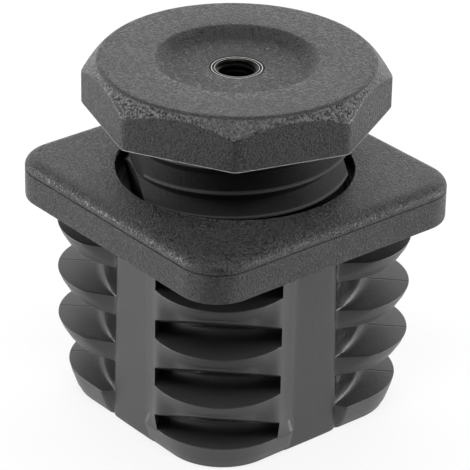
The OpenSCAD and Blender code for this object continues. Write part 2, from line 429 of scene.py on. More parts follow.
# %% rings of the flange
TOP_SHARES = (0.3, 0.6, 0.9)  # rings on the flat top, from the opening to the rounded edge
OPENING_EDGE = [(0, -0.4), (0.12, -0.12), (0.4, 0)]
LINE_BELOW_EDGE = 0.25
LINE_HEIGHT = FLANGE_TOP - EDGE_DROP - LINE_BELOW_EDGE
LINE_GROOVE = [(0, 0.12), (0.14, 0.05), (0.14, -0.05), (0.02, -0.12)]  # inwards and upwards
LOWER_EDGE = [(0.02, 0.5), (0.1, 0.12), (0.35, 0)]  # inwards and upwards
UNDER_SHARES = (0.6, 0.1)  # rings on the underside, as shares of the way from core to edge
UNDER_STEP = 0.25


def flange_rings(angle):
    """The opening's wall, the flat top, the rounded edge, the side with its parting line and the
    underside. Each ring is the rounded square, made smaller by its inset."""

    def outline(inset):
        return rounded_square(angle, FLANGE_HALF - inset, FLANGE_CORNER - inset)

    rings = [(OPENING_RADIUS, OPENING_BOTTOM)] + steps_from(OPENING_RADIUS, FLANGE_TOP, OPENING_EDGE)
    inner = rings[-1][0]
    for share in TOP_SHARES:
        rings.append((inner + (outline(EDGE_WIDTH) - inner) * share, FLANGE_TOP))
    rings += arc_rings(outline, FLANGE_TOP - EDGE_DROP, EDGE_DROP, EDGE_WIDTH, EDGE_RINGS)
    rings += [(outline(inset), LINE_HEIGHT + up) for inset, up in LINE_GROOVE]
    rings += [(outline(inset), FLANGE_BOTTOM + up) for inset, up in LOWER_EDGE]
    core = layer_root(angle, FIN_TOP, lambda turn, z: fin_skin(turn, z, FIN_TOP))
    deep = slot_angle(angle)
    reach = rings[-1][0] - core
    for share in UNDER_SHARES:
        rings.append((core + reach * share, FLANGE_BOTTOM, deep + (angle - deep) * share))
    return rings + [(core, FLANGE_BOTTOM - UNDER_STEP, deep)]


flange = flange_rings(ANGLE)
print("flange", len(flange), "rings")

# %% rings of the fins
# Shares of the ledge's width, and the height of the fillet there.
ROOT_FILLET = [(0, 1.9), (0.035, 1.0), (0.075, 0.42), (0.14, 0.1), (0.22, 0), (0.4, 0), (0.68, 0)]
RIM_EDGE = [(0.3, 0), (0.07, -0.05), (0.01, -0.2)]  # inwards and upwards
FULL_LEDGE = 1.5  # the width from which a ledge has its full roundings
FACE_START = 0.2  # below the top
FACE_SHORTER = 0.7  # what the sloping face leaves to both edges
FACE_SHARES = (0.2, 0.4, 0.6, 0.8)
FIN_EDGE = [(0, 0.5), (0.06, 0.2), (0.3, 0.03)]  # inwards and upwards
CEILING_SHARES = (0.7, 0.4, 0.15, 0)
CEILING_STEP = 0.1


def layer_rings(angle, top, bottom, skin):
    """A nearly flat top with its draft, a crisp upper edge and the sloping face down to the
    bottom. A ring on the top is the root plus a share of the ledge, raised by the draft and by
    the fillet at the root. Both fade out with a ledge narrower than the full one."""
    core = layer_root(angle, top, skin)
    rim = skin(angle, top)
    deep = slot_angle(angle)
    ledge = np.maximum(rim - core, 0)
    soft = np.minimum(ledge / FULL_LEDGE, 1)
    rings = []
    for share, step in ROOT_FILLET:
        radius = core + ledge * share
        turned = deep + (angle - deep) * share
        rings.append((radius, top + fin_rise(turned, radius) + step * soft, turned))
    for back, step in RIM_EDGE:
        radius = rim - back * soft
        rings.append((radius, top + fin_rise(angle, radius) + step))
    for share in FACE_SHARES:
        z = top - FACE_START - (top - bottom - FACE_SHORTER) * share
        rings.append((skin(angle, z), z))
    return rings


def fin_rings(angle, top):
    """One fin layer, with a soft lower edge and its underside, which is the ceiling of the pocket
    below: the root plus a share of the ledge, lower by the ceiling's drop."""

    def skin(turn, z):
        return fin_skin(turn, z, top)

    lower = skin(angle, top - FIN_HEIGHT)
    bottom = top - FIN_HEIGHT - ceiling_drop(angle, lower)
    rings = layer_rings(angle, top, bottom, skin)
    under = layer_root(angle, bottom, skin)
    deep = slot_angle(angle)
    ledge = np.maximum(lower - under, 0)
    soft = np.minimum(ledge / FULL_LEDGE, 1)
    rings += [(lower - back * soft, bottom + up) for back, up in FIN_EDGE]
    for share in CEILING_SHARES:
        radius = under + ledge * share
        turned = deep + (angle - deep) * share
        rings.append((radius, top - FIN_HEIGHT - ceiling_drop(turned, radius), turned))
    return rings + [(under, rings[-1][1] - CEILING_STEP, deep)]


fins = []
for layer in range(FIN_LAYERS):
    fins += fin_rings(ANGLE, FIN_TOP - layer * FIN_PITCH)
print("fins", len(fins), "rings")

# %% rings of the foot
RELIEF_RADIUS = 21.7  # of the plain bore below the inner thread
RELIEF_TOP = 7
FOOT_EDGE = [(0, 0.6), (-0.1, 0.28), (-0.3, 0.08), (-0.6, 0)]
RELIEF_EDGE = [(0.9, 0), (0.4, 0), (0, 0.4)]


def foot_rings(angle):
    """The foot as one more layer, with a soft lower edge and the flat lower end: its outline at
    the height 0, and the relieved bore's radius, plus small steps."""
    lower = foot_skin(angle, 0)
    edges = steps_from(lower, 0, FOOT_EDGE) + steps_from(RELIEF_RADIUS, 0, RELIEF_EDGE)
    return layer_rings(angle, FOOT_TOP, 0, foot_skin) + edges


foot = foot_rings(ANGLE)
print("foot", len(foot), "rings")

# %% inner thread
THREAD_PITCH = 5
THREAD_PHASE = 2.975  # height of a ridge's middle at the angle 0
THREAD_CREST = 21.2  # radius of the screw's ridge
THREAD_ROOT = 18.9  # radius of the screw between the ridges
THREAD_FLANK = 1  # how far a flank rises while it comes in by one
CREST_HALF = 0.15
RADIAL_GAP = 0.4  # clearances between both threads
FLANK_GAP = 0.3
INNER_FLAT = 0.1  # what the inner thread's own crests are blunted by
INNER_STEPS = [-2.25, -1.2, -0.05, 0.05, 1.2, 2.25]  # its rings on one pitch


def inner_radius(angle, z):
    """The inner thread: the screw's ridge with the clearances added to its root, its crest and
    the half width of the crest."""
    root = THREAD_ROOT + RADIAL_GAP + INNER_FLAT
    crest = THREAD_CREST + RADIAL_GAP
    half = CREST_HALF - RADIAL_GAP + FLANK_GAP
    return thread_radius(angle, z, root, crest, THREAD_PITCH, THREAD_PHASE, half, THREAD_FLANK)


relief = [(RELIEF_RADIUS, RELIEF_TOP), (inner_radius(ANGLE, RELIEF_TOP), RELIEF_TOP)]
climbing = thread_rings(
    SEAM_ANGLE, RELIEF_TOP, OPENING_BOTTOM, INNER_STEPS, THREAD_PITCH, THREAD_PHASE, inner_radius
)
shelf = [(inner_radius(ANGLE, OPENING_BOTTOM), OPENING_BOTTOM), (OPENING_RADIUS, OPENING_BOTTOM)]
print("inner thread", len(climbing), "rings")

# %% plug
outside = ring_stack(flange + fins + foot + relief, ANGLE, True)
inner_thread = ring_stack(climbing, SEAM_ANGLE, False)
plug = make_mesh("plug", [outside, inner_thread, ring_stack(shelf, ANGLE, True)], [0, 1, 1])
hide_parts("insert_body")

# %% [markdown]
# ## The screw
#
# The head is an octagon cut by a cone, with a shallow dish in its top. The cone and the octagon
# meet in arcs, because the rings follow the height where the two have the same radius. Cutting a
# prism with a cone would give the same arcs, but with long thin faces along them that shade badly.
# The mould's parting leaves two flats along the thread. Inside, the stem is hollow, and four ribs
# hold the boss that the bush is moulded into.

# %% thread of the screw
STEM_BOTTOM = screw_low[2]
PARTING_ANGLE = math.radians(243.75)  # the middle of one flat
PARTING_HALF = math.radians(26.25)
START_STEP = 0.6  # the chamfer at the thread's start, above the root
START_SLOPE = 0.9


def cut_crest(angle):
    """The screw's crest radius: across each parting flat a chord, which is its distance from the
    axis over the cosine, and the full radius elsewhere."""
    turn = np.abs(fold(angle, 2, PARTING_ANGLE))
    chord = THREAD_CREST * math.cos(PARTING_HALF) / np.cos(np.minimum(turn, PARTING_HALF))
    return np.where(turn < PARTING_HALF, chord, THREAD_CREST)


def screw_radius(angle, z):
    """The coarse thread: the smallest of the full ridge, the crest with its flats and the chamfer
    at the lower end, and never less than the root."""
    full = thread_radius(
        angle, z, 0, THREAD_CREST, THREAD_PITCH, THREAD_PHASE, CREST_HALF, THREAD_FLANK
    )
    chamfer = THREAD_ROOT + START_STEP + (z - STEM_BOTTOM) * START_SLOPE
    return np.maximum(np.minimum(np.minimum(full, cut_crest(angle)), chamfer), THREAD_ROOT)


def screw_offsets(angle):
    """Where the rings lie on one pitch: the flanks' feet, the edges of the crest or the flat, the
    middles between those, and the ridge's middle."""
    foot = THREAD_CREST + CREST_HALF - THREAD_ROOT
    edge = THREAD_CREST + CREST_HALF - cut_crest(angle)
    return [-foot, -(foot + edge) / 2, -edge, 0, edge, (foot + edge) / 2, foot]


flat_depth = THREAD_CREST - cut_crest(ANGLE).min()
print("the flats take", round(flat_depth, 2), "off the crest")

# %% head
HEAD_TOP = screw_high[2]
HEAD_HEIGHT = 9.5
HEAD_BOTTOM = HEAD_TOP - HEAD_HEIGHT
HEAD_ACROSS = 52.7  # from flat to flat
HEAD_HALF = HEAD_ACROSS / 2
HEAD_TURN = math.radians(5.3)  # against the flange, as in the photograph
HEAD_CORNER = 0.35  # rounding of the octagon's edges
HEAD_TOP_RADIUS = 25.2  # where the flat top ends and the cone starts
TOP_RING = 20  # one ring more on the flat top, so that its faces are no long slivers
CONE_EDGE = [(-0.5, 0), (-0.15, -0.03), (0.12, -0.15)]
CONE_SHARES = (0.25, 0.5, 0.75, 0.93)
CONE_LEAST_DROP = 0.16  # keeps the cone below its rounded upper edge
SIDE_SHARES = (0.3, 0.65)
ARC_EDGE = [(-0.03, -0.03), (0, -0.3)]
HEAD_FOOT = [(0, 0.45), (-0.1, 0.14), (-0.4, 0)]


def octagon(angle, half):
    """The radius of an octagon with slightly rounded edges: the smooth minimum of the lines of
    the two nearest faces, each of which is half over a cosine."""
    turn = np.abs(fold(angle, 8, HEAD_TURN + np.pi / 8))
    near = half / np.cos(turn)
    far = half / np.cos(np.pi / 4 - turn)
    return smooth_min(near, far, HEAD_CORNER)


def side_rings(angle):
    """The flat top, the cone and the octagon's sides. The cone falls by as much as it runs out,
    so its lower end follows the octagon in arcs."""
    side = octagon(angle, HEAD_HALF)
    bevel = side - HEAD_TOP_RADIUS
    rings = [(TOP_RING, HEAD_TOP)] + steps_from(HEAD_TOP_RADIUS, HEAD_TOP, CONE_EDGE)
    for share in CONE_SHARES:
        drop = np.maximum(bevel * share, CONE_LEAST_DROP)
        rings.append((HEAD_TOP_RADIUS + bevel * share, HEAD_TOP - drop))
    rings += steps_from(side, HEAD_TOP - bevel, ARC_EDGE)
    for share in SIDE_SHARES:
        rings.append((side, HEAD_TOP - bevel - (HEAD_HEIGHT - bevel) * share))
    return rings + steps_from(side, HEAD_BOTTOM, HEAD_FOOT)


across_corners = 2 * octagon(ANGLE, HEAD_HALF).max()
print("head", HEAD_ACROSS, "across its flats,", across_corners.round(2), "across its corners")

# %% dish and hollow
RECESS_RADIUS = 15  # of the dish at the top
RECESS_SLOPE = 2.4  # by how much its floor is smaller
RECESS_DEPTH = 1.9
FLOOR_RING = 9  # one ring more on the dish's floor
DISH_FOOT = [(-0.8, 0), (-0.3, 0.05), (0.1, 0.25)]
DISH_MIDDLE = (0.5, 0.52)  # shares of the slope and of the depth, for a slightly hollow wall
DISH_EDGE = [(-0.3, -0.28), (0, -0.07), (0.35, 0)]
HOLLOW_RADIUS = 15.4
HOLLOW_ROOF = 4.4  # the wall between the dish and the hollow
HOLLOW_TOP = HEAD_TOP - RECESS_DEPTH - HOLLOW_ROOF
UNDER_RING = 23  # and on the head's underside
BOSS_RADIUS = 9
BOSS_FLOOR = 2  # what the boss reaches down below the bush
BOSS_FILLET = 0.5
BOSS_BEVEL = 0.3
BUSH_RADIUS = bush_high[0]
BUSH_TOP = bush_high[2]
BUSH_BOTTOM = bush_low[2]
BUSH_GAP = 0.1
COLLAR_RADIUS = 4.85  # of the bush's narrow upper end
COLLAR_GAP = 0.12
MOUTH_RADIUS = 4.3  # of the hole below the bush
MOUTH_EDGE = [(0, -0.2), (0.06, -0.05), (0.2, 0)]


def dish_rings():
    """From the mouth round the bush's collar over the dish's floor and up to its edge: the radius
    and the height of each corner plus small steps."""
    floor = HEAD_TOP - RECESS_DEPTH
    dish = RECESS_RADIUS - RECESS_SLOPE
    mouth = COLLAR_RADIUS + COLLAR_GAP
    middle = (dish + RECESS_SLOPE * DISH_MIDDLE[0], floor + RECESS_DEPTH * DISH_MIDDLE[1])
    rings = [(mouth, BUSH_TOP + BUSH_GAP)] + steps_from(mouth, floor, MOUTH_EDGE)
    rings += [(FLOOR_RING, floor)] + steps_from(dish, floor, DISH_FOOT) + [middle]
    return rings + steps_from(RECESS_RADIUS, HEAD_TOP, DISH_EDGE)


def hollow_rings():
    """From the head's underside up the hollow, round the boss and back up the bush's seat: plain
    cylinders and rings between the named radii and heights."""
    floor = BUSH_BOTTOM - BOSS_FLOOR
    rings = [(UNDER_RING, HEAD_BOTTOM), (HOLLOW_RADIUS, HEAD_BOTTOM), (HOLLOW_RADIUS, HOLLOW_TOP)]
    rings += [(BOSS_RADIUS + BOSS_FILLET, HOLLOW_TOP), (BOSS_RADIUS, HOLLOW_TOP - BOSS_FILLET)]
    rings += [(BOSS_RADIUS, floor + BOSS_BEVEL), (BOSS_RADIUS - BOSS_BEVEL, floor)]
    rings += [(MOUTH_RADIUS, floor), (MOUTH_RADIUS, BUSH_BOTTOM - BUSH_GAP)]
    seat = BUSH_RADIUS + BUSH_GAP
    return rings + [(seat, BUSH_BOTTOM - BUSH_GAP), (seat, BUSH_TOP + BUSH_GAP)]


head = dish_rings() + side_rings(ANGLE) + hollow_rings()
head.append(head[0])
print("head", len(head), "rings")

# %% stem and ribs
STEM_OVERLAP = 1  # what the stem reaches into the head
STEM_EDGE = 0.4
RIB_COUNT = 4
RIB_HALF = 1.3  # half of the thickness
RIB_SLIMMER = [0.35, 0.1, 0]  # what it is less at the lower edge, just above it and at the top
RIB_HEIGHT = 20
RIB_EDGE = 0.3
RIB_OVERLAP = 0.5  # what a rib reaches into the boss and into the stem's wall


def stem_rings(angle):
    """The stem's inner wall and both its ends: the hollow's radius, and the thread's at each end.
    The upper end lies inside the head."""
    top = HEAD_BOTTOM + STEM_OVERLAP
    outer = screw_radius(angle, top)
    lower = screw_radius(angle, STEM_BOTTOM)
    rings = [(outer, top), (HOLLOW_RADIUS + STEM_EDGE, HEAD_BOTTOM + STEM_EDGE)]
    rings += [(HOLLOW_RADIUS, HEAD_BOTTOM), (HOLLOW_RADIUS, STEM_BOTTOM + STEM_EDGE)]
    return rings + [(HOLLOW_RADIUS + STEM_EDGE, STEM_BOTTOM), (lower, STEM_BOTTOM)]


def rib(turn):
    """A thin rib between the boss and the stem's wall: twelve corners, so far along and across,
    turned round the axis by cosine and sine. It is slightly slimmer at its lower edge."""
    inner, outer = BOSS_RADIUS - RIB_OVERLAP, HOLLOW_RADIUS + RIB_OVERLAP
    low, high = HOLLOW_TOP - RIB_HEIGHT, HOLLOW_TOP + RIB_EDGE
    along = np.array([inner, outer, outer, inner] * 3)
    across = np.array([-1, -1, 1, 1] * 3) * np.repeat(RIB_HALF - np.array(RIB_SLIMMER), 4)
    x = along * math.cos(turn) - across * math.sin(turn)
    y = along * math.sin(turn) + across * math.cos(turn)
    height = np.repeat([low, low + RIB_EDGE, high], 4)
    around = np.array([[0, 1, 5, 4], [1, 2, 6, 5], [2, 3, 7, 6], [3, 0, 4, 7]])
    quads = np.concatenate([[[3, 2, 1, 0]], around, around + 4, [[8, 9, 10, 11]]])
    return np.stack([x, y, height], -1), quads


stem = stem_rings(ANGLE)
ribs = [rib(HEAD_TURN + part * 2 * np.pi / RIB_COUNT) for part in range(RIB_COUNT)]
print("stem", len(stem), "rings,", len(ribs), "ribs")

# %% screw
coarse = thread_rings(
    SEAM_ANGLE,
    STEM_BOTTOM,
    HEAD_BOTTOM + STEM_OVERLAP,
    screw_offsets(SEAM_ANGLE),
    THREAD_PITCH,
    THREAD_PHASE,
    screw_radius,
)
patches = [ring_stack(head, ANGLE, True), ring_stack(stem, ANGLE, True)]
patches += [ring_stack(coarse, SEAM_ANGLE, False)] + ribs
screw = make_mesh("adjusting_head", patches, [0] + [1] * (len(patches) - 1))
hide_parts("adjusting_screw")

# %% [markdown]
# ## The steel bush
#
# A turned sleeve with an M8 thread in its bore and a groove round its middle, which anchors it in
# the plastic. Its collar reaches up to the floor of the dish. A narrow groove in the collar's end
# lies between two rings painted bright as glints, which is all that shows of the bush from above. A
# painted bump could stand in for the bore's thread, but one looks straight down into it, so it is
# real.

# %% bore of the bush
COLLAR_SUNK = 0.08  # below the floor of the dish
COLLAR_TOP = HEAD_TOP - RECESS_DEPTH - COLLAR_SUNK
BORE_RADIUS = 3.4  # core of an M8 thread
BORE_CREST = 3.98  # the bottom of its grooves
BORE_PITCH = 1.25
BORE_FLAT = 0.08  # half of the groove's flat bottom
BORE_FLANK = 0.577  # the tangent of 30 degrees
BORE_BEVEL = 0.6
BORE_STEPS = [-0.42, -0.25, -0.08, 0.08, 0.25, 0.42]


def bore_radius(angle, z):
    """The M8 thread: grooves from the core radius to the full one, with flanks at 60 degrees to
    each other, and at both ends a bevel, which is the larger radius by what is left to the rim."""
    groove = thread_radius(angle, z, BORE_RADIUS, BORE_CREST, BORE_PITCH, 0, BORE_FLAT, BORE_FLANK)
    rim = np.minimum(COLLAR_TOP - z, z - BUSH_BOTTOM)
    return np.maximum(groove, BORE_RADIUS + BORE_BEVEL - rim)


small_angle = ring_angles(BUSH_COLUMNS)
small_seam = ring_angles(BUSH_COLUMNS, 1)
turns = thread_rings(small_seam, BUSH_BOTTOM, COLLAR_TOP, BORE_STEPS, BORE_PITCH, 0, bore_radius)
print("bore of", round(2 * BORE_RADIUS, 2), "with", len(turns), "rings of thread")

# %% bush
COLLAR_GROOVE = [(4.15, 0), (4.22, -0.3), (4.4, -0.3), (4.47, 0)]  # radii and heights
COLLAR_BEVEL = 0.1
BUSH_BEVEL = 0.3
ANCHOR_DEPTH = 0.8  # the groove round the middle
ANCHOR_HALF = 1.5
BUSH_CREASE = 40  # degrees

middle = (BUSH_TOP + BUSH_BOTTOM) / 2
anchor = BUSH_RADIUS - ANCHOR_DEPTH
shell = [(bore_radius(small_angle, COLLAR_TOP), COLLAR_TOP)]
shell += steps_from(0, COLLAR_TOP, COLLAR_GROOVE)
shell += [(COLLAR_RADIUS - COLLAR_BEVEL, COLLAR_TOP), (COLLAR_RADIUS, COLLAR_TOP - COLLAR_BEVEL)]
shell += [(COLLAR_RADIUS, BUSH_TOP)]
shell += [(BUSH_RADIUS - BUSH_BEVEL, BUSH_TOP), (BUSH_RADIUS, BUSH_TOP - BUSH_BEVEL)]
shell += [(BUSH_RADIUS, middle + ANCHOR_HALF), (anchor, middle + ANCHOR_HALF)]
shell += [(anchor, middle - ANCHOR_HALF), (BUSH_RADIUS, middle - ANCHOR_HALF)]
shell += [(BUSH_RADIUS, BUSH_BOTTOM + BUSH_BEVEL), (BUSH_RADIUS - BUSH_BEVEL, BUSH_BOTTOM)]
shell += [(bore_radius(small_angle, BUSH_BOTTOM), BUSH_BOTTOM)]
patches = [ring_stack(shell, small_angle, True), ring_stack(turns, small_seam, False)]
bush = make_mesh("steel_bush", patches, [0, 0], BUSH_CREASE)
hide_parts("threaded_bush")

# %% [markdown]
# ## Shader building blocks
#
# `Wire` is one output of a shader node. Adding, scaling and comparing wires makes Math nodes, so a
# mask reads like the sentence that describes it. `Nodes` makes and wires every other node, for a
# material as for the world.


# %% wires and nodes
class Wire:
    """One output of a shader node, with arithmetic as Math nodes."""

    def __init__(self, kit, socket):
        self.kit = kit
        self.socket = socket

    def math(self, operation, *others):
        return self.kit.node("ShaderNodeMath", {"operation": operation}, [self, *others])

    def __add__(self, other):
        return self.math("ADD", other)

    __radd__ = __add__

    def __sub__(self, other):
        return self.math("SUBTRACT", other)

    def __rsub__(self, other):
        return self.math("MULTIPLY_ADD", -1.0, other)

    def __mul__(self, other):
        return self.math("MULTIPLY", other)

    __rmul__ = __mul__

    def __truediv__(self, other):
        return self.math("DIVIDE", other)

    def abs(self):
        return self.math("ABSOLUTE")

    def max(self, other):
        return self.math("MAXIMUM", other)

    def ramp(self, start, stop, low=0.0, high=1.0):
        """Goes smoothly from low to high as the wire goes from start to stop."""
        settings = {"interpolation_type": "SMOOTHSTEP", "clamp": True}
        return self.kit.node("ShaderNodeMapRange", settings, [self, start, stop, low, high])

    def close_to(self, value, inner, outer):
        """A band round a value: 1 less than inner away from it, and 0 more than outer away."""
        return (self - value).abs().ramp(inner, outer, 1.0, 0.0)


class Nodes:
    """The node tree of a material or a world."""

    def __init__(self, owner):
        owner.use_nodes = True
        self.tree = owner.node_tree

    def node(self, kind, settings, inputs, output=0):
        """Makes a node, sets its properties, fills its inputs in order or by name, and returns
        one output as a wire."""
        made = self.tree.nodes.new(kind)
        for key, value in settings.items():
            setattr(made, key, value)
        pairs = inputs.items() if isinstance(inputs, dict) else enumerate(inputs)
        for key, value in pairs:
            self.feed(made.inputs[key], value)
        return Wire(self, made.outputs[output])

    def feed(self, socket, value):
        """Links a wire to an input, or sets the input's own value."""
        if isinstance(value, Wire):
            self.tree.links.new(value.socket, socket)
        else:
            socket.default_value = value


print("a wire knows", sorted(name for name in vars(Wire) if not name.startswith("_")))


# %% finish
class Finish(Nodes):
    """A material under construction, with the place on the object in millimetres."""

    def __init__(self, name):
        self.material = bpy.data.materials.new(name)
        super().__init__(self.material)
        self.shader = self.tree.nodes["Principled BSDF"]
        self.place = self.node("ShaderNodeTexCoord", {}, [], "Object")
        axes = self.node("ShaderNodeSeparateXYZ", {}, [self.place]).socket.node
        self.x, self.y, self.z = (Wire(self, axes.outputs[i]) / MM for i in range(3))
        self.radius = (self.x * self.x + self.y * self.y).math("SQRT")

    def noise(self, per_mm, detail=2.0, roughness=0.5, place=None):
        """Smooth noise around a half, with so many waves to a millimetre."""
        vector = place or self.place
        inputs = {"Vector": vector, "Scale": per_mm / MM, "Detail": detail, "Roughness": roughness}
        return self.node("ShaderNodeTexNoise", {}, inputs)

    def mix(self, share, first, second):
        """A colour between the first and the second."""
        settings = {"data_type": "RGBA"}
        return self.node("ShaderNodeMix", settings, {0: share, 6: first, 7: second}, 2)

    def bump(self, height, depth_mm, strength=1.0):
        """A normal from a height between 0 and 1, so many millimetres deep."""
        inputs = {"Strength": strength, "Distance": depth_mm * MM, "Height": height}
        return self.node("ShaderNodeBump", {}, inputs)

    def surface(self, **inputs):
        """Sets the shader's inputs, written with underscores for spaces."""
        for key, value in inputs.items():
            self.feed(self.shader.inputs[key.replace("_", " ")], value)
        print(self.material.name, len(self.tree.nodes), "nodes")
        return self.material


# %% [markdown]
# ## Plastic
#
# Plug and screw are one black compound with three faces: a spark-eroded grain on the flange and
# the head, a satin on the pillars and fins, and a polish on the sleeve and the threads. Black
# plastic shows hardly any colour of its own. Nearly all its light is a reflection, so the colours
# are very dark, and grain and gloss come from roughness and bump. The grain could be an image, but
# nodes have no seams. Its pits are random cells rather than smooth noise, because an eroded mould
# leaves small flat facets.

# %% colours and grain
DEEP = (0.006, 0.006, 0.0062, 1)
BLACK = (0.0005, 0.0005, 0.0005, 1)
SATIN = (0.02, 0.02, 0.0204, 1)
# a painted highlight on the head's cone
PAINTED_CONE_LIGHT = (0.11, 0.11, 0.112, 1)
DUSTY = (0.03, 0.03, 0.0306, 1)
# a painted highlight on the head's lower edge, the opening's rim and the screw's crests
PAINTED_HIGHLIGHT = (0.3, 0.3, 0.303, 1)
GRAIN = 0.42  # width of a pit
GRAIN_DEPTH = 0.75  # depth of the bump at a height of 1
CELL_SHARE = 0.65


def grain(finish):
    """Spark-eroded grain between 0 and 1: a random level for each small pit, and softer noise
    between them, added by their shares."""
    inputs = {"Vector": finish.place, "Scale": 1 / (GRAIN * MM), "Randomness": 1.0}
    cells = finish.node("ShaderNodeTexVoronoi", {"feature": "F1"}, inputs, 1)
    level = finish.node("ShaderNodeSeparateColor", {}, [cells])
    fine = finish.noise(1 / GRAIN, 2.0, 0.7).ramp(0.4, 0.6)
    return (level * CELL_SHARE + fine * (1 - CELL_SHARE)).ramp(0.2, 0.8)


print("pits", GRAIN, "mm wide, bump", GRAIN_DEPTH, "mm")

# %% plastic of the plug
SEAM_HALF = 0.08  # of the parting line on the fins
SEAM_FADE = 0.24
POLISH = 0.2  # roughness of the polished faces
SATIN_ROUGHNESS = 0.28  # what the others have on top of it
SHEEN = 0.5


def plug_plastic():
    """Grain on the flange, satin on the outer faces of the plug, and a polish on the sleeve and
    inside. The parting line is dark, the polish is darkened as painted shade in the slots and the
    bore, and the opening's edge has specks of painted highlight."""
    finish = Finish("plug plastic")
    z, radius = finish.z, finish.radius
    on_flange = z.ramp(FLANGE_BOTTOM - 0.1, FLANGE_BOTTOM + 0.1)
    outside = radius.ramp(SLEEVE_RADIUS + 0.1, SLEEVE_RADIUS + 0.3)
    inside = radius.ramp(OPENING_RADIUS + 0.05, OPENING_RADIUS + 0.3, 1.0, 0.0)
    from_plane = (finish.x - finish.y).abs() * math.sqrt(0.5)
    seam = from_plane.ramp(SEAM_HALF, SEAM_FADE, 1.0, 0.0) * outside * (1 - on_flange)
    line = z.close_to(LINE_HEIGHT, 0.05, 0.16) * radius.ramp(28.5, 29.5)
    parting = seam.max(line)
    pits = grain(finish)
    satin = finish.noise(1.6, 3.0, 0.6)
    waves = finish.noise(0.35, 2.0, 0.5)
    grained = on_flange * (1 - inside)
    polished = (1 - outside) * (1 - grained)
    at_top = z.ramp(FLANGE_TOP - 0.5, FLANGE_TOP - 0.3)
    rim = (radius - OPENING_RADIUS).ramp(0.35, 0.6, 1.0, 0.0) * at_top
    lit = finish.mix(grained, SATIN, finish.mix(pits, BLACK, DUSTY))
    # the parting line is dark, and the polished sleeve and bore are darkened as painted shade
    colour = finish.mix(polished.max(parting), lit, DEEP)
    # painted highlight: pale specks along the opening's rim
    colour = finish.mix(rim * pits * 0.5, colour, PAINTED_HIGHLIGHT)
    roughness = (
        POLISH + (1 - polished) * SATIN_ROUGHNESS + satin * 0.05 + (pits - 0.5) * grained * 0.2
    )
    height = pits * grained * 0.9 + satin * outside * 0.06 + waves * polished * 0.3 - parting * 0.3
    normal = finish.bump(height, GRAIN_DEPTH)
    return finish.surface(
        Base_Color=colour, Roughness=roughness, Normal=normal, Specular_IOR_Level=SHEEN
    )


plug_finish = plug_plastic()

# %% plastic of the head
HEAD_ROUGHNESS = 0.48


def head_plastic():
    """Grain on the head, with a painted highlight on the cone, a dark line round the flat top and a
    painted highlight on the lower edge. What reaches down below the head, such as the boss, is
    plain and dark."""
    finish = Finish("head plastic")
    z, radius = finish.z, finish.radius
    on_head = z.ramp(HEAD_BOTTOM - 0.1, HEAD_BOTTOM + 0.1)
    pits = grain(finish)
    line = radius.close_to(HEAD_TOP_RADIUS, 0.16, 0.42) * z.ramp(HEAD_TOP - 0.5, HEAD_TOP - 0.3)
    edge = z.ramp(HEAD_BOTTOM + 0.22, HEAD_BOTTOM + 0.4, 1.0, 0.0) * radius.ramp(24.5, 25)
    below_cone = (HEAD_TOP_RADIUS + HEAD_TOP - radius - z).ramp(0.05, 0.3)
    side = below_cone * radius.ramp(HEAD_TOP_RADIUS + 0.1, HEAD_TOP_RADIUS + 0.4)
    bevel = radius.ramp(HEAD_TOP_RADIUS, HEAD_TOP_RADIUS + 0.2) * (1 - below_cone)
    # painted highlight: the grain on the cone is paler
    pale = finish.mix(bevel, DUSTY, PAINTED_CONE_LIGHT)
    colour = finish.mix(on_head, DEEP, finish.mix(pits, BLACK, pale))
    # painted highlight on the lower edge, and a dark line round the flat top
    colour = finish.mix(edge * on_head, finish.mix(line, colour, DEEP), PAINTED_HIGHLIGHT)
    roughness = HEAD_ROUGHNESS + side * 0.12 + (pits - 0.5) * on_head * 0.3
    normal = finish.bump(pits * on_head * (1 - edge) * 0.6 - line * 0.3, GRAIN_DEPTH)
    return finish.surface(
        Base_Color=colour, Roughness=roughness, Normal=normal, Specular_IOR_Level=SHEEN
    )


head_finish = head_plastic()

# %% plastic of the threads
THREAD_SHEEN = 0.18


def thread_plastic():
    """The dull black of both threads, the stem's inside and the ribs, with a faint painted highlight
    on the screw's crests."""
    finish = Finish("thread plastic")
    fine = finish.noise(1.5)
    crest = finish.radius.close_to(THREAD_CREST - 0.05, 0.1, 0.25)
    # a faint painted highlight on the crests
    colour = finish.mix(crest * 0.12, finish.mix(fine, DEEP, BLACK), PAINTED_HIGHLIGHT)
    roughness = 0.5 + fine * 0.1
    normal = finish.bump(fine, 0.05)
    return finish.surface(
        Base_Color=colour, Roughness=roughness, Normal=normal, Specular_IOR_Level=THREAD_SHEEN
    )


thread_finish = thread_plastic()
for piece, outer_finish in ((plug, plug_finish), (screw, head_finish)):
    piece.data.materials.append(outer_finish)
    piece.data.materials.append(thread_finish)
    print(piece.name, piece.data.materials.keys())

# %% [markdown]
# ## Steel
#
# The bush is turned, so fine rings run round it. Anisotropic gloss would show them too, but the
# export doesn't keep it, so the noise is read by radius and height instead of by place. The two
# narrow rings at the end of the collar are painted bright, as painted glints. The rest is given
# a dark colour, a painted shade, because it mirrors nothing but the inside of the bore.

# %% steel of the bush
# painted shade on the steel, and painted glints on two rings
PAINTED_SHADE_STEEL = (0.022, 0.021, 0.02, 1)
PAINTED_GLINT_STEEL = (0.36, 0.35, 0.34, 1)
OUTER_GLINT = 4.66  # radii of the two painted glints
INNER_GLINT = 4.12


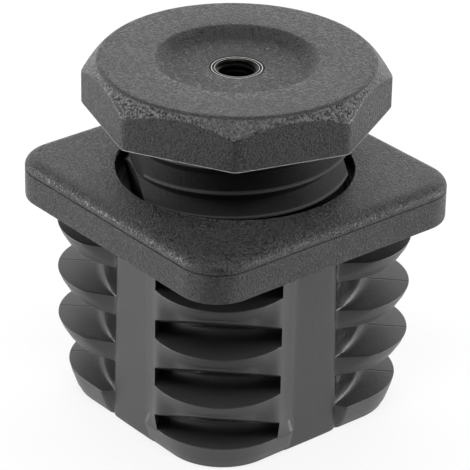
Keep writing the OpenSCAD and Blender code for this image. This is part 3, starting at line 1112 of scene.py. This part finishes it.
def turned_steel():
    """Steel with rings left by the turning tool: painted glints in two narrow bands round the radii
    of the collar's end, and painted shade everywhere else. The fine lines change roughness and bump."""
    finish = Finish("turned steel")
    z, radius = finish.z, finish.radius
    rings = finish.node("ShaderNodeCombineXYZ", {}, [radius * 0.02, radius * 0.02, z * 0.012])
    lines = finish.noise(0.4, 3.0, 0.6, rings)
    high = z.ramp(COLLAR_TOP - 0.25, COLLAR_TOP - 0.05)
    outer = radius.close_to(OUTER_GLINT, 0.03, 0.12)
    inner = radius.close_to(INNER_GLINT, 0.02, 0.1)
    # painted glints on the two rings at the collar's end, painted shade elsewhere
    colour = finish.mix(outer.max(inner) * high, PAINTED_SHADE_STEEL, PAINTED_GLINT_STEEL)
    roughness = 0.28 + lines * 0.2
    normal = finish.bump(lines, 0.01, 0.4)
    return finish.surface(Base_Color=colour, Roughness=roughness, Metallic=1.0, Normal=normal)


bush.data.materials.append(turned_steel())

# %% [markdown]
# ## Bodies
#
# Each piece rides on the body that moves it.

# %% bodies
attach(plug, "insert")
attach(screw, "screw")
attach(bush, "bush")
print("three pieces on three bodies")

# %% [markdown]
# ## Camera
#
# The camera looks at the plug's front corner from above, a long way off, with the slight tilt of
# the photograph. It could be moved by eye until the picture looks right, but a few degrees of error
# would then hide in wrong sizes. So its place comes from fitting the flange, the head and the fins
# to the picture.

# %% camera
AIM = Vector((0.156, 0.187, 33.065)) * MM
EYE = Vector((380.95, -317.47, 293.57)) * MM
TILT = 0.01973  # radians
FOCAL_LENGTH = 229.53
SENSOR_WIDTH = 36

lens = bpy.data.cameras.new("camera")
lens.sensor_width = SENSOR_WIDTH
lens.lens = FOCAL_LENGTH
camera = bpy.data.objects.new("camera", lens)
bpy.context.scene.collection.objects.link(camera)
look = (AIM - EYE).to_track_quat("-Z", "Y").to_matrix().to_4x4()
camera.matrix_world = Matrix.Translation(EYE) @ look @ Matrix.Rotation(TILT, 4, "Z")
bpy.context.scene.camera = camera
bpy.context.scene.view_settings.view_transform = "Standard"
print("camera", round((AIM - EYE).length / MM), "mm away")

# %% [markdown]
# ## Light
#
# Black plastic is lit by what it mirrors, so every lamp is there for one kind of face. A studio
# photograph as a world would light it too, but no face could be set by itself. Two soft boxes
# stand left and right of the object. A wide wall of light far behind it gives the flat tops
# their level, and a weak box above softens it. A box high up in front lights the head's bevel,
# and two small ones low in front reach the sleeve inside the slots. The front faces get theirs
# from the paper, in the last step.


# %% lamps
def soft_box(name, place, aim, width, height, power):
    """A rectangular area light at a place in millimetres, turned along the way to its aim."""
    light = bpy.data.lights.new(name, "AREA")
    light.shape = "RECTANGLE"
    light.size = width * MM
    light.size_y = height * MM
    light.energy = power
    item = bpy.data.objects.new(name, light)
    item.location = Vector(place) * MM
    item.rotation_mode = "QUATERNION"
    item.rotation_quaternion = (Vector(aim) - Vector(place)).to_track_quat("-Z", "Y")
    bpy.context.scene.collection.objects.link(item)
    print(name, power, "W")


AHEAD = Vector((-0.768, 0.640, 0))  # the camera's level view
RIGHT = Vector((0.640, 0.768, 0))


def around(right, ahead, up):
    """A place as the camera sees it: so far along its right, along its level view and up."""
    return RIGHT * right + AHEAD * ahead + Vector((0, 0, up))


soft_box("left box", around(-420, 30, 120), (0, 0, 30), width=300, height=220, power=2.3)
soft_box("right box", around(420, 30, 120), (0, 0, 30), width=300, height=220, power=2.3)
soft_box("back wall", around(0, 700, 330), (0, 0, 40), width=1400, height=600, power=5.0)
soft_box("top box", around(0, 220, 450), (0, 0, 40), width=420, height=300, power=0.6)
soft_box("front box", around(0, -330, 620), (0, 0, 60), width=460, height=220, power=2.2)
soft_box("front left box", around(-260, -250, 85), (0, 0, 20), width=170, height=130, power=0.28)
soft_box("front right box", around(260, -250, 85), (0, 0, 20), width=170, height=130, power=0.12)

# %% [markdown]
# The world is a dim grey room for the light, and plain white for the camera.

# %% world
ROOM = (0.5, 0.5, 0.5, 1)
ROOM_STRENGTH = 0.12
WHITE = (1, 1, 1, 1)

world = bpy.data.worlds.new("studio")
bpy.context.scene.world = world
studio = Nodes(world)
seen = studio.node("ShaderNodeLightPath", {}, [], "Is Camera Ray")
room = studio.node("ShaderNodeBackground", {}, [ROOM, ROOM_STRENGTH])
white = studio.node("ShaderNodeBackground", {}, [WHITE, 1.0])
choice = studio.node("ShaderNodeMixShader", {}, [seen, room, white])
studio.feed(studio.tree.nodes["World Output"].inputs["Surface"], choice)
print("room", ROOM[0] * ROOM_STRENGTH)

# %% [markdown]
# ## Floor
#
# The floor is white paper. A share of it is its own glow, so that it reads as white and still
# keeps the object's shadow. The plastic mirrors a glow as well, which is bright close to the
# object and falls off in front of it, as the photograph's paper does. That falling glow is what
# shapes the front faces: the bevels, the fins and the pillars.

# %% paper
PAPER = (0.8, 0.8, 0.8, 1)
GLOW_SHARE = 0.8
GLARE = (1.35, 1.35, 1.35, 1)
GLARE_START = -140  # places along the camera's level view
GLARE_FULL = -45


def paper():
    """Diffuse white mixed with a glow, by its share: plain white for the camera, and for mirror
    rays a glare that rises with the place along the camera's level view."""
    finish = Finish("paper")
    mirrored = finish.node("ShaderNodeLightPath", {}, [], "Is Glossy Ray")
    direct = finish.node("ShaderNodeLightPath", {}, [], "Is Camera Ray")
    near = (finish.x * AHEAD.x + finish.y * AHEAD.y).ramp(GLARE_START, GLARE_FULL)
    glare = finish.mix(near, (0.0, 0.0, 0.0, 1), GLARE)
    colour = finish.mix(mirrored, WHITE, glare)
    glow = finish.node("ShaderNodeEmission", {}, {"Color": colour, "Strength": 1.0})
    matte = Wire(finish, finish.shader.outputs[0])
    share = direct.max(mirrored) * GLOW_SHARE
    mixed = finish.node("ShaderNodeMixShader", {}, [share, matte, glow])
    finish.feed(finish.tree.nodes["Material Output"].inputs["Surface"], mixed)
    return finish.surface(Base_Color=PAPER, Roughness=0.9)


# %% floor
FLOOR_HALF = 3000
FLOOR_GAP = 0.02  # below the plug's lower end, so that no faces coincide

floor_mesh = bpy.data.meshes.new("floor")
reach = FLOOR_HALF * MM
corners = [(-reach, -reach, 0), (reach, -reach, 0), (reach, reach, 0), (-reach, reach, 0)]
floor_mesh.from_pydata(corners, [], [(0, 1, 2, 3)])
floor = bpy.data.objects.new("floor", floor_mesh)
bpy.context.scene.collection.objects.link(floor)
floor.location.z = -FLOOR_GAP * MM
floor.data.materials.append(paper())

# %% [markdown]
# The dressed object has to fill the same box as the CAD model.
